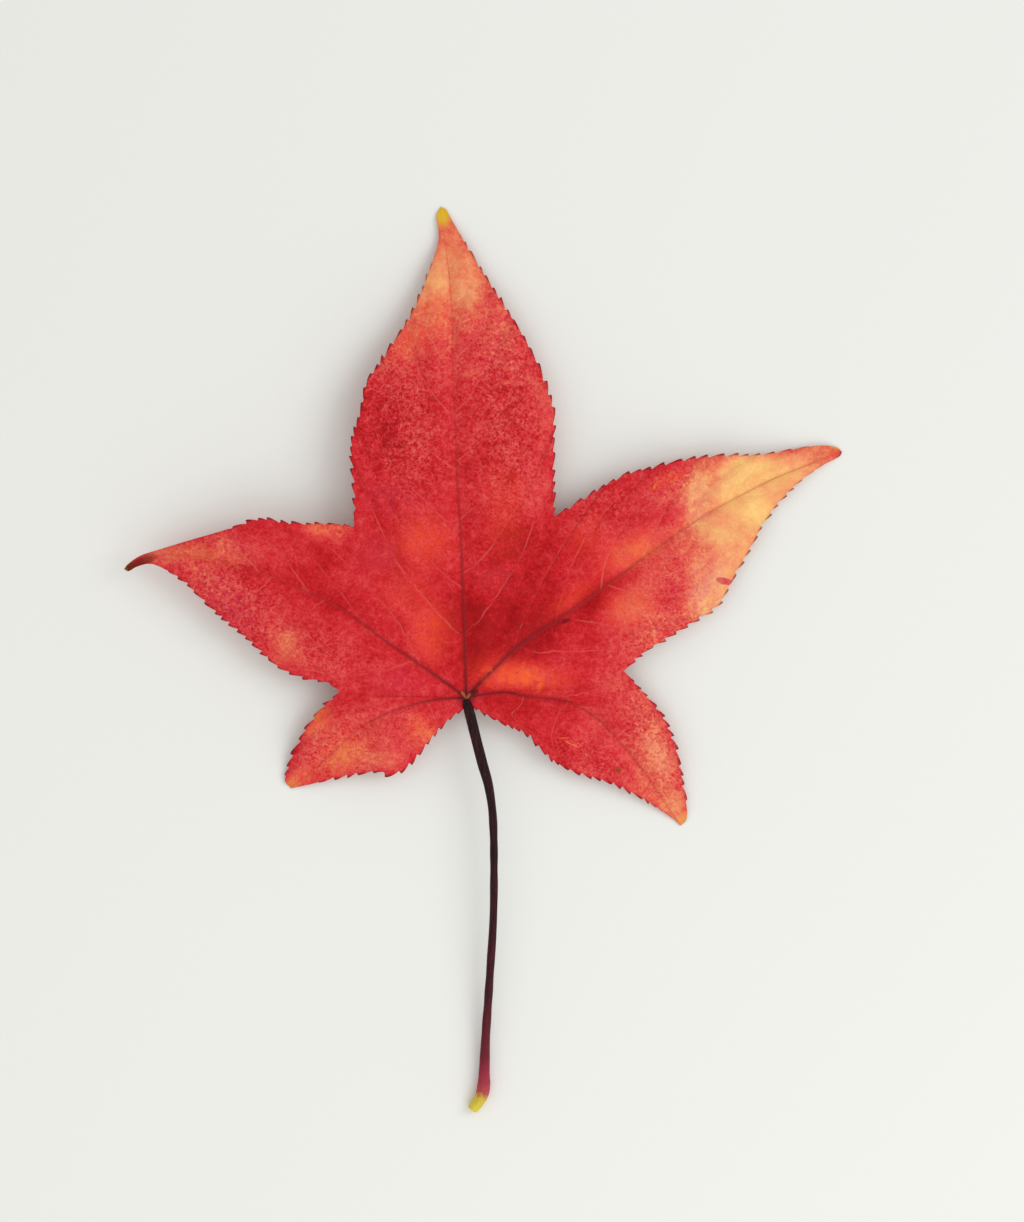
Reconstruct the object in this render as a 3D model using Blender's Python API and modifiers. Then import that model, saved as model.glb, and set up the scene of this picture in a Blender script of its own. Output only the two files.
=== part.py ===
"""A fallen sweetgum leaf: a thin five-lobed blade, and the petiole (leaf stalk) it grew on.

The blade is a bent sheet trimmed to a toothed five-lobed outline. It lies with its upper face up,
arched over the surface it rests on, and touches it with the tips of four lobes. The petiole runs
from the blade's base to its own swollen end, which rests on the same surface.
The row's +Y runs from the petiole's end to the middle lobe's tip, and +Z is up.
"""

import bmesh
import bpy
import numpy as np
from mathutils import Matrix

MM = 0.001

BLADE_THICKNESS = 0.4 * MM
SHEET_CELL = 4.0 * MM  # spacing of the bent sheet's grid
SHEET_WIDTH = 148 * MM
SHEET_DEPTH = 132 * MM
SHEET_CENTRE = (0.0, 28 * MM)
OUTLINE_DEPTH = 80 * MM  # height of the prism that trims the sheet

TOOTH_SPACING = 2.4 * MM
TOOTH_HEIGHT = 0.75 * MM
TOOTH_LEAN = 0.7  # where a tooth's point stands between its two ends, towards the lobe's tip
TOOTH_FADE = 4.0 * MM  # teeth grow to full height over this length from each end of a margin
SMOOTH_STEPS = 16  # points for each span of a smooth path

PETIOLE_BEVEL_RESOLUTION = 4  # 12 sides
PETIOLE_STEPS = 3  # points for each span of the petiole's route

# The blade's outline in millimetres, clockwise from the petiole. Each lobe has the margin that
# climbs to its tip, the tip, the margin that comes back, and the sinus after it. The lobes tell
# how the leaf grew: the middle one is the longest, and the two at the base the shortest.
BASE_LEFT = (-4.0, -8.5)
BASE_RIGHT = (-1.7, -8.5)
LOBES = [
    {  # lower left lobe
        "climb": [
            (-6.6, -11.4), (-10.0, -15.0), (-12.6, -18.4), (-15.6, -21.3), (-18.6, -22.3), (-20.4, -21.5),
            (-27.8, -22.7), (-33.5, -24.0),
        ],
        "tip": (-37.2, -24.8),
        "back": [(-38.4, -23.2), (-37.6, -20.0), (-36.3, -16.8), (-33.9, -12.6), (-31.0, -9.0)],
        "sinus": (-27.6, -6.0),
    },
    {  # left lobe
        "climb": [
            (-30.5, -4.2), (-35.4, -3.2), (-40.0, -1.0), (-45.4, 4.0), (-51.7, 9.3), (-57.0, 14.5),
            (-61.0, 17.3), (-64.0, 18.5), (-66.6, 18.0),
        ],
        "tip": (-69.2, 17.5),
        "back": [
            (-66.0, 20.1), (-62.0, 21.4), (-56.0, 23.2), (-48.8, 25.3), (-43.2, 27.2), (-37.0, 26.4),
            (-28.6, 26.2),
        ],
        "sinus": (-24.9, 25.6),
    },
    {  # middle lobe
        "climb": [
            (-24.9, 31.5), (-25.4, 42.0), (-23.6, 48.2), (-22.6, 53.2), (-20.2, 57.0), (-15.2, 64.6),
            (-12.3, 70.2), (-10.6, 75.0), (-9.0, 79.6), (-8.9, 84.5),
        ],
        "tip": (-8.3, 87.5),
        "back": [
            (-6.1, 84.8), (-2.6, 78.9), (2.4, 70.8), (6.1, 65.0), (9.6, 58.8), (12.4, 52.2), (13.6, 47.0),
            (13.5, 40.0),
        ],
        "sinus": (13.6, 27.6),
    },
    {  # right lobe
        "climb": [
            (18.6, 30.7), (26.3, 35.3), (33.0, 37.3), (42.0, 39.2), (54.0, 39.7), (60.0, 40.8), (66.5, 41.4),
        ],
        "tip": (69.2, 40.2),
        "back": [
            (65.5, 37.6), (61.2, 34.6), (57.0, 30.4), (54.0, 26.4), (51.6, 21.8), (49.0, 17.3), (45.4, 10.8),
            (41.5, 8.0), (37.0, 5.2), (31.0, 1.5),
        ],
        "sinus": (27.0, -2.1),
    },
    {  # lower right lobe
        "climb": [(30.8, -6.2), (34.6, -10.8), (37.0, -16.5), (38.5, -23.5), (39.2, -29.0)],
        "tip": (38.0, -32.0),
        "back": [
            (36.0, -30.3), (31.3, -27.2), (24.8, -23.9), (17.4, -21.6), (13.4, -19.4), (10.6, -16.7),
            (8.2, -14.3), (2.8, -11.9),
        ],
        "sinus": BASE_RIGHT,
    },
]

# How high the bent sheet stands, in millimetres: x, y and the height of its middle surface.
# Four lobe tips come down to half the blade's thickness. The left side stands highest.
STANDS = [
    (-3.0, -7.5, 5.1), (-5.0, 12.0, 6.6), (-5.5, 36.0, 6.8), (-7.0, 62.0, 5.0), (-8.5, 87.5, 0.3),
    (-24.5, 46.0, 7.6), (-24.9, 25.6, 7.4), (13.5, 45.0, 5.5), (13.6, 27.6, 5.7),
    (36.0, 23.0, 4.5), (42.0, 39.0, 3.9), (46.0, 11.0, 2.7), (69.2, 40.6, 0.3),
    (27.0, -2.1, 4.1), (37.0, -16.0, 2.9), (17.0, -21.0, 2.9), (37.9, -31.9, 0.3),
    (-27.6, -6.0, 5.8), (-20.0, -22.0, 3.6), (-37.4, -25.0, 0.3),
    (-40.0, 13.0, 7.2), (-44.0, 27.0, 7.4), (-46.0, 4.0, 5.6), (-59.0, 19.0, 6.6), (-69.2, 17.8, 4.4),
]

# The petiole's route from the blade to its end: x, y, height of its middle and radius.
PETIOLE_ROUTE = [
    (-2.9, -9.1, 5.2, 1.04), (-1.9, -13.5, 5.5, 1.01), (-0.3, -19.7, 5.8, 0.96), (1.0, -24.5, 5.8, 0.87),
    (1.8, -31.0, 5.6, 0.77), (2.0, -41.0, 5.1, 0.74), (1.8, -51.0, 4.3, 0.76), (1.1, -62.0, 3.2, 0.78),
    (0.4, -72.0, 2.2, 0.86), (0.1, -79.4, 1.6, 1.04), (0.0, -82.0, 1.45, 1.27), (-0.5, -84.2, 1.36, 1.26),
    (-2.2, -86.8, 1.20, 1.08),
]


def clear_scene():
    for thing in list(bpy.data.objects):
        bpy.data.objects.remove(thing, do_unlink=True)


def make_collection(name):
    collection = bpy.data.collections.new(name)
    bpy.context.scene.collection.children.link(collection)
    return collection


def make_material(name, colour, roughness):
    material = bpy.data.materials.new(name)
    material.use_nodes = True
    shader = material.node_tree.nodes["Principled BSDF"]
    shader.inputs["Base Color"].default_value = (*colour, 1.0)
    shader.inputs["Roughness"].default_value = roughness
    shader.inputs["Metallic"].default_value = 0.0
    return material


def smooth_path(points, steps):
    """A Catmull-Rom curve through the points, with this many steps to each span."""
    points = np.asarray(points, float)
    ends = [2 * points[0] - points[1], *points, 2 * points[-1] - points[-2]]
    path = []
    for before, start, end, after in zip(ends, ends[1:], ends[2:], ends[3:]):
        for t in np.arange(steps) / steps:
            path.append(
                0.5 * (2 * start + (end - before) * t + (2 * before - 5 * start + 4 * end - after) * t**2
                       + (3 * start - before - 3 * end + after) * t**3)
            )
    return np.array([*path, points[-1]])


def toothed_margin(points, towards_tip):
    """One side of a lobe, with a row of teeth that lean to the lobe's tip."""
    path = smooth_path(points, SMOOTH_STEPS) * MM
    run = np.concatenate([[0], np.cumsum(np.linalg.norm(np.diff(path, axis=0), axis=1))])
    teeth = round(run[-1] / TOOTH_SPACING)
    peak = TOOTH_LEAN if towards_tip else 1 - TOOTH_LEAN
    starts = np.arange(teeth) / teeth * run[-1]
    peaks = (np.arange(teeth) + peak) / teeth * run[-1]
    along = np.column_stack([starts, peaks]).ravel()
    place = np.column_stack([np.interp(along, run, path[:, axis]) for axis in (0, 1)])
    ahead = np.column_stack([np.interp(along + MM, run, path[:, axis]) for axis in (0, 1)])
    behind = np.column_stack([np.interp(along - MM, run, path[:, axis]) for axis in (0, 1)])
    heading = ahead - behind
    heading /= np.linalg.norm(heading, axis=1)[:, None]
    outwards = np.column_stack([-heading[:, 1], heading[:, 0]])
    full = np.clip(np.minimum(along, run[-1] - along) / TOOTH_FADE, 0, 1)
    rise = np.where(np.arange(len(along)) % 2 == 1, TOOTH_HEIGHT / 2, -TOOTH_HEIGHT / 2)
    return place + outwards * (full * rise)[:, None]


def blade_outline():
    """The closed outline as one array of points in metres, clockwise from the petiole's left."""
    margins = []
    start = BASE_LEFT
    for lobe in LOBES:
        margins.append(toothed_margin([start, *lobe["climb"], lobe["tip"]], towards_tip=True))
        margins.append(toothed_margin([lobe["tip"], *lobe["back"], lobe["sinus"]], towards_tip=False))
        start = lobe["sinus"]
    margins.append(np.array([BASE_RIGHT]) * MM)
    return np.concatenate(margins)


def plate_kernel(distance):
    """A thin plate's own bending shape round a point: r squared times the log of r."""
    return distance**2 * np.log(np.maximum(distance, 1e-9))


def bend_sheet(places):
    """Heights, in metres, of a thin plate bent so that it passes through every stand."""
    stands = np.array(STANDS)
    anchors = stands[:, :2]
    count = len(anchors)
    gaps = np.linalg.norm(anchors[:, None] - anchors[None], axis=2)
    flat = np.column_stack([np.ones(count), anchors])
    system = np.block([[plate_kernel(gaps), flat], [flat.T, np.zeros((3, 3))]])
    weights = np.linalg.solve(system, np.concatenate([stands[:, 2], np.zeros(3)]))
    places = np.asarray(places) / MM
    reach = np.linalg.norm(places[:, None] - anchors[None], axis=2)
    plane = np.column_stack([np.ones(len(places)), places]) @ weights[count:]
    return (plate_kernel(reach) @ weights[:count] + plane) * MM


def make_outline_cutter(collection):
    """The outline as an upright prism, which trims the sheet."""
    curve = bpy.data.curves.new("blade_outline", "CURVE")
    curve.dimensions = "2D"
    curve.fill_mode = "BOTH"
    curve.extrude = OUTLINE_DEPTH / 2
    outline = blade_outline()
    spline = curve.splines.new("POLY")
    spline.points.add(len(outline) - 1)
    for point, (x, y) in zip(spline.points, outline):
        point.co = (x, y, 0, 1)
    spline.use_cyclic_u = True
    guide = bpy.data.objects.new("blade_outline_curve", curve)
    collection.objects.link(guide)
    bpy.context.view_layer.update()

    mesh = bpy.data.meshes.new_from_object(guide.evaluated_get(bpy.context.evaluated_depsgraph_get()))
    shape = bmesh.new()
    shape.from_mesh(mesh)
    bmesh.ops.remove_doubles(shape, verts=shape.verts, dist=0.00001)
    bmesh.ops.recalc_face_normals(shape, faces=shape.faces)
    shape.to_mesh(mesh)
    shape.free()
    cutter = bpy.data.objects.new("blade_outline", mesh)
    cutter.matrix_world = guide.matrix_world
    bpy.data.objects.remove(guide, do_unlink=True)
    cutter.hide_render = True
    cutter.display_type = "WIRE"
    collection.objects.link(cutter)
    return cutter


def make_blade(collection, cutter, material):
    """A bent sheet with the blade's thickness, kept only inside the outline."""
    shape = bmesh.new()
    bmesh.ops.create_grid(
        shape,
        x_segments=round(SHEET_WIDTH / SHEET_CELL),
        y_segments=round(SHEET_DEPTH / SHEET_CELL),
        size=0.5,
        matrix=Matrix.Translation((*SHEET_CENTRE, 0)) @ Matrix.Diagonal((SHEET_WIDTH, SHEET_DEPTH, 1, 1)),
    )
    heights = bend_sheet([vertex.co.xy for vertex in shape.verts])
    for vertex, height in zip(shape.verts, heights):
        vertex.co.z = height
    mesh = bpy.data.meshes.new("leaf_blade")
    shape.to_mesh(mesh)
    shape.free()
    mesh.materials.append(material)
    mesh.shade_smooth()

    blade = bpy.data.objects.new("leaf_blade", mesh)
    collection.objects.link(blade)
    wall = blade.modifiers.new("thickness", "SOLIDIFY")
    wall.thickness = BLADE_THICKNESS
    wall.offset = 0
    trim = blade.modifiers.new("outline", "BOOLEAN")
    trim.operation = "INTERSECT"
    trim.object = cutter
    return blade


def make_petiole(collection, material):
    """A round stalk with a changing radius, ending in the flat face where it left the twig."""
    route = smooth_path(PETIOLE_ROUTE, PETIOLE_STEPS)
    curve = bpy.data.curves.new("petiole", "CURVE")
    curve.dimensions = "3D"
    curve.bevel_depth = MM
    curve.bevel_resolution = PETIOLE_BEVEL_RESOLUTION
    curve.use_fill_caps = True
    spline = curve.splines.new("POLY")
    spline.points.add(len(route) - 1)
    for point, (x, y, z, radius) in zip(spline.points, route):
        point.co = (x * MM, y * MM, z * MM, 1)
        point.radius = radius
    curve.materials.append(material)
    petiole = bpy.data.objects.new("petiole", curve)
    collection.objects.link(petiole)
    return petiole


def stand_on_origin(parts, followers):
    """Parents all to one empty, moved so that the middle of the leaf's box stands on the origin."""
    origin = bpy.data.objects.new("leaf_origin", None)
    parts[0].users_collection[0].objects.link(origin)
    bpy.context.view_layer.update()
    graph = bpy.context.evaluated_depsgraph_get()
    places = []
    for part in parts:
        finished = part.evaluated_get(graph)
        places += [tuple(vertex.co) for vertex in finished.to_mesh().vertices]
        finished.to_mesh_clear()
    low, high = np.min(places, axis=0), np.max(places, axis=0)
    origin.location = (-(low[0] + high[0]) / 2, -(low[1] + high[1]) / 2, -low[2])
    for thing in [*parts, *followers]:
        thing.parent = origin
    bpy.context.view_layer.update()


def main():
    clear_scene()
    leaf = make_collection("sweetgum_leaf")
    cutters = make_collection("cutters")
    blade_red = make_material("dry leaf blade", (0.62, 0.045, 0.035), 0.55)
    stalk_maroon = make_material("petiole bark", (0.055, 0.010, 0.012), 0.40)
    outline = make_outline_cutter(cutters)
    blade = make_blade(leaf, outline, blade_red)
    petiole = make_petiole(leaf, stalk_maroon)
    stand_on_origin([blade, petiole], [outline])


main()
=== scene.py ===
from functools import partial
from math import radians

import bmesh
import bpy
import numpy as np
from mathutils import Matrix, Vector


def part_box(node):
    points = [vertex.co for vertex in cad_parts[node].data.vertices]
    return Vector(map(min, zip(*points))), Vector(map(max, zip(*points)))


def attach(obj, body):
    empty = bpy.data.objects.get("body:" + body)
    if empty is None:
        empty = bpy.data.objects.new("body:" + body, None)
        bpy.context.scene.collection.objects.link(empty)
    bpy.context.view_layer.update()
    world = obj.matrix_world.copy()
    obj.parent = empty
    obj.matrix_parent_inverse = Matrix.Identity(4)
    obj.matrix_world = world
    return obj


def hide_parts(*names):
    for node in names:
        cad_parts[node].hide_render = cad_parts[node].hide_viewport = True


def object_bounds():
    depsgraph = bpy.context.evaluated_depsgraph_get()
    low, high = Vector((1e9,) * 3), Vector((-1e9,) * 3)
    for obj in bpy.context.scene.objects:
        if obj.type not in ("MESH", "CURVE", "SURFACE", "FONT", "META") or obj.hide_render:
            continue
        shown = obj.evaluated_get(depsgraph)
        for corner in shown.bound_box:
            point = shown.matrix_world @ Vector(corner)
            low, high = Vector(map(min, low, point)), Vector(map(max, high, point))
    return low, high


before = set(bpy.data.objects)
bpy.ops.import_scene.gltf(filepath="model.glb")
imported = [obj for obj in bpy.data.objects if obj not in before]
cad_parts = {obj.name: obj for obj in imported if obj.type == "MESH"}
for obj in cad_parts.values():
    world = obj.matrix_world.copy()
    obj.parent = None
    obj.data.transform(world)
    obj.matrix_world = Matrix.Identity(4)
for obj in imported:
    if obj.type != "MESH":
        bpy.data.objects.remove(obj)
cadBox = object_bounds()
bladeLow, bladeHigh = (np.array(corner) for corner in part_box("leaf_blade"))

# All lengths below are leaf millimetres. One of them is this much of the frame's blade, and the
# leaf's own zero is placed so that the blade fills the frame's blade from side to side and at its top.
leafWidth = 138.4
leafTop = 87.5
mm = (bladeHigh[0] - bladeLow[0]) / leafWidth
zeroX = (bladeHigh[0] + bladeLow[0]) / 2
zeroY = bladeHigh[1] - leafTop * mm
zeroZ = cadBox[0][2]
print("frame loaded: one leaf millimetre is", round(mm, 6), "m")


# small tools
def toLinear(code):
    # sRGB hex to linear: below 0.04045 divide by 12.92, above it ((c + 0.055) / 1.055) ^ 2.4
    parts = np.array([int(code[i:i + 2], 16) for i in (1, 3, 5)]) / 255
    linear = np.where(parts <= 0.04045, parts / 12.92, ((parts + 0.055) / 1.055) ** 2.4)
    return (*linear.tolist(), 1.0)


def smoothPath(points, count):
    # Catmull-Rom through the points, then read at equal steps of length
    points = np.asarray(points, float)
    padded = np.vstack([2 * points[0] - points[1], points, 2 * points[-1] - points[-2]])
    t = np.linspace(0, len(points) - 1, 48 * len(points))
    i = np.minimum(t.astype(int), len(points) - 2)
    f = (t - i)[:, None]
    a, b, c, d = (padded[i + k] for k in range(4))
    path = 0.5 * (2 * b + (c - a) * f + (2 * a - 5 * b + 4 * c - d) * f**2 + (3 * b - a - 3 * c + d) * f**3)
    return evenSteps(path, np.linspace(0, 1, count))


def evenSteps(path, shares):
    # the points that stand at these shares of the path's length
    run = np.concatenate([[0], np.cumsum(np.linalg.norm(np.diff(path[:, :2], axis=0), axis=1))])
    return np.column_stack([np.interp(shares * run[-1], run, path[:, k]) for k in range(path.shape[1])])


def headings(path):
    # unit direction along a path, by central differences
    step = np.gradient(path, axis=0)
    return step / np.maximum(np.linalg.norm(step, axis=1), 1e-12)[:, None]


def smoothStep(low, high, value):
    # 0 below low, 1 above high, 3t^2 - 2t^3 between
    t = np.clip((value - low) / (high - low), 0, 1)
    return t * t * (3 - 2 * t)


# the leaf's plan
# Each lobe has its main vein, the margin that climbs to its tip (clockwise from the petiole) and the
# margin that comes back to the next sinus. Each margin has a count of teeth, the share of its length
# where they have died out, and the shares of the vein's length where a side vein starts.
junction = (-3.3, -7.2)
baseNotch = (-2.85, -8.6)
leafPlan = [
    {   # lower left lobe
        "columns": 176, "veinWidth": 0.75, "teeth": (16, 9), "teethEnd": (0.92, 0.95),
        "vein": [(-9.2, -7.6), (-14.1, -8.7), (-19.3, -10.6), (-24.5, -13.6), (-30.3, -19.0)],
        "climb": [
            (-6.6, -11.4), (-10.0, -15.0), (-12.6, -18.4), (-15.6, -21.3), (-18.6, -22.3), (-20.4, -21.5),
            (-27.8, -22.7), (-33.5, -24.0),
        ],
        "tip": (-37.2, -24.8),
        "back": [(-38.4, -23.2), (-37.6, -20.0), (-36.3, -16.8), (-33.9, -12.6), (-31.0, -9.0)],
        "sinus": (-27.6, -6.0),
        "sideVeins": ([0.20, 0.40, 0.58, 0.76], [0.26, 0.46, 0.64, 0.80]),
    },
    {   # left lobe
        "columns": 224, "veinWidth": 0.85, "teeth": (22, 18), "teethEnd": (0.86, 0.62),
        "vein": [
            (-7.9, -3.9), (-13.7, 0.2), (-18.3, 3.3), (-28.0, 10.2), (-38.8, 15.2), (-43.6, 17.0),
            (-53.1, 19.6), (-60.8, 20.2), (-65.6, 19.3),
        ],
        "climb": [
            (-30.5, -4.2), (-35.4, -3.2), (-40.0, -1.0), (-45.4, 4.0), (-51.7, 9.3), (-57.0, 14.5),
            (-61.0, 17.3), (-64.0, 18.5), (-66.6, 18.0), (-68.3, 17.1),
        ],
        "tip": (-69.2, 17.5),
        "back": [
            (-68.4, 18.5), (-66.0, 20.1), (-62.0, 21.4), (-56.0, 23.2), (-48.8, 25.3), (-43.2, 27.2),
            (-37.0, 26.4), (-28.6, 26.2),
        ],
        "sinus": (-24.9, 25.6),
        "sideVeins": ([0.17, 0.31, 0.45, 0.60, 0.74, 0.87], [0.15, 0.33, 0.50, 0.64, 0.76, 0.88]),
    },
    {   # middle lobe
        "columns": 336, "veinWidth": 0.80, "teeth": (27, 24), "teethEnd": (0.88, 0.94),
        "vein": [(-4.0, 14.9), (-4.4, 24.7), (-5.0, 34.8), (-5.6, 50.2), (-6.3, 69.5), (-7.5, 81.1)],
        "climb": [
            (-24.9, 31.5), (-25.3, 37.5), (-25.4, 42.0), (-23.6, 48.2), (-22.6, 53.2), (-20.2, 57.0),
            (-15.2, 64.6), (-12.3, 70.2), (-10.6, 75.0), (-9.0, 79.6), (-8.7, 82.5), (-9.1, 85.8),
        ],
        "tip": (-8.3, 87.5),
        "back": [
            (-7.2, 86.9), (-6.1, 84.8), (-2.6, 78.9), (2.4, 70.8), (6.1, 65.0), (9.6, 58.8), (12.4, 52.2),
            (13.6, 47.0), (13.5, 40.0),
        ],
        "sinus": (13.6, 27.6),
        "sideVeins": (
            [0.12, 0.22, 0.34, 0.46, 0.57, 0.67, 0.77, 0.88],
            [0.13, 0.25, 0.36, 0.48, 0.58, 0.68, 0.79, 0.89],
        ),
    },
    {   # right lobe
        "columns": 264, "veinWidth": 1.35, "teeth": (22, 24), "teethEnd": (0.90, 0.93),
        "vein": [
            (1.0, -2.7), (7.0, 2.9), (14.5, 7.9), (22.8, 13.7), (30.6, 19.5), (41.8, 27.4), (49.5, 31.7),
            (57.2, 35.5),
        ],
        "climb": [
            (18.6, 30.7), (26.3, 35.3), (33.0, 37.3), (42.0, 39.2), (54.0, 39.7), (60.0, 40.8), (65.0, 41.4),
            (68.0, 41.1),
        ],
        "tip": (69.2, 40.2),
        "back": [
            (68.5, 39.2), (65.5, 37.6), (61.2, 34.6), (57.0, 30.4), (54.0, 26.4), (51.6, 21.8), (49.0, 17.3),
            (45.4, 10.8), (41.5, 8.0), (37.0, 5.2), (31.0, 1.5),
        ],
        "sinus": (27.0, -2.1),
        "sideVeins": (
            [0.14, 0.26, 0.38, 0.50, 0.62, 0.74, 0.86],
            [0.16, 0.28, 0.40, 0.52, 0.64, 0.76, 0.88],
        ),
    },
    {   # lower right lobe
        "columns": 210, "veinWidth": 0.85, "teeth": (14, 24), "teethEnd": (0.93, 0.95),
        "vein": [
            (3.3, -6.2), (8.2, -7.0), (14.5, -7.6), (18.2, -8.9), (22.3, -11.6), (25.0, -14.3), (30.2, -20.7),
        ],
        "climb": [(30.8, -6.2), (34.6, -10.8), (37.0, -16.5), (38.5, -23.5), (39.2, -28.5), (39.1, -30.9)],
        "tip": (38.0, -32.0),
        "back": [
            (36.4, -30.6), (31.3, -27.2), (24.8, -23.9), (17.4, -21.6), (13.4, -19.4), (10.6, -16.7),
            (8.2, -14.3), (2.8, -11.8),
        ],
        "sinus": baseNotch,
        "sideVeins": ([0.24, 0.42, 0.58, 0.74, 0.88], [0.22, 0.38, 0.53, 0.67, 0.82]),
    },
]

# How high the blade's middle surface stands over the surface it lies on: x, y, height.
bladeStands = np.array([
    (-3.0, -7.5, 5.1), (-5.0, 12.0, 6.6), (-5.5, 36.0, 6.8), (-7.0, 62.0, 5.0), (-8.5, 87.5, 0.3),
    (-24.5, 46.0, 7.6), (-24.9, 25.6, 7.4), (13.5, 45.0, 5.5), (13.6, 27.6, 5.7),
    (36.0, 23.0, 4.5), (42.0, 39.0, 3.9), (46.0, 11.0, 2.7), (69.2, 40.6, 0.3),
    (27.0, -2.1, 4.1), (37.0, -16.0, 2.9), (17.0, -21.0, 2.9), (37.9, -31.9, 0.3),
    (-27.6, -6.0, 5.8), (-20.0, -22.0, 3.6), (-37.4, -25.0, 0.3),
    (-40.0, 13.0, 7.2), (-44.0, 27.0, 7.4), (-46.0, 4.0, 5.6), (-59.0, 19.0, 6.6), (-69.2, 17.8, 4.4),
])


def plateHeight(x, y, stands):
    # thin plate through the stands: each adds weight * r^2 * log(r), over a tilted plane
    def kernel(r):
        return r**2 * np.log(np.maximum(r, 1e-9))

    anchors, count = stands[:, :2], len(stands)
    flat = np.column_stack([np.ones(count), anchors])
    gaps = np.linalg.norm(anchors[:, None] - anchors[None], axis=2)
    system = np.block([[kernel(gaps), flat], [flat.T, np.zeros((3, 3))]])
    weights = np.linalg.solve(system, np.concatenate([stands[:, 2], np.zeros(3)]))
    height = weights[count] + weights[count + 1] * x + weights[count + 2] * y
    for (anchorX, anchorY), weight in zip(anchors, weights):
        height = height + weight * kernel(np.hypot(x - anchorX, y - anchorY))
    return height


# the blade
bladeForm = {
    "toothHeight": 0.68,        # mm from the bottom of a notch to the tooth's point
    "toothPeak": 0.82,          # where the point stands between two notches, towards the lobe's tip
    "toothLean": 0.60,          # how far the point hooks towards the lobe's tip, as a share of its height
    "toothSeed": 5,
    "toothSpread": (0.62, 1.38),    # how uneven the teeth's lengths are, and then their heights
    "toothSizes": (0.45, 1.35),
    "toothFade": 3.0,           # mm over which teeth grow at the foot of a margin
    "toothReach": 0.42,         # mm inwards over which a tooth still moves the rows
    "bow": 0.10,                # how far a column sags from straight, as a share of its length
    "narrow": 6.0,              # mm of width below which the first and last rows draw together
    "nearVein": [0.0, 0.12, 0.3, 0.55, 0.9, 1.5],   # mm from the main vein to the first rows
    "nearEdge": [1.5, 0.75, 0.3, 0.0],              # mm from the margin to the last rows
    "middleRows": 10,
    "sideWander": 0.10,         # how far a side vein strays, as a share of the step to the next
    "sideHook": 0.32,           # how far it turns towards the tip near the margin, in the same share
    "sideLoops": (0.80, 0.09),  # where side veins join in loops, as a share of the way out, and their depth
    "thickness": 0.24,          # mm between the side veins
    "edgeThickness": 0.14,
    "groove": 0.34,             # mm that the blade dips beside a main vein
    "grooveWidth": 1.3,
    "ridge": 0.30,              # mm that the vein itself stands up in the dip
    "ridgeWidth": 0.42,
    "rib": 0.75,                # mm that a main vein stands out below, at the junction
    "ribWidth": 0.75,
    "sideRib": 0.10,            # mm that a side vein does, over its own width
    "sideRibWidth": 0.35,
    "taper": 1.2,               # mm from the margin over which the blade gets its full thickness
    "veinHalfWidth": 0.30,      # mm, the dark line of a main vein at the junction
    "quilt": 0.30,              # mm that the blade swells between side veins
    "arch": 0.55,               # mm that each half lobe arches between vein and margin
    "ripple": 0.32,             # mm of slow unevenness
    "edgeWave": 0.35,           # mm that the margin waves between side veins
    "gutter": 1.1,              # mm that the left tip's edges stand up over its vein
    "knot": 0.40,               # mm that the knot stands up at the petiole
    "knotWidth": 0.8,
    "lowest": 0.28,             # mm from the surface below to the upper face, at the least
}


def toothProfile(phase, peak):
    # one tooth a turn: a rounded back up to the point, then a straight drop into the notch
    t = phase - np.floor(phase)
    back = 1 - (1 - np.clip(t / peak, 0, 1)) ** 1.5
    return np.where(t < peak, back, (1 - t) / (1 - peak)) - 0.5


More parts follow.
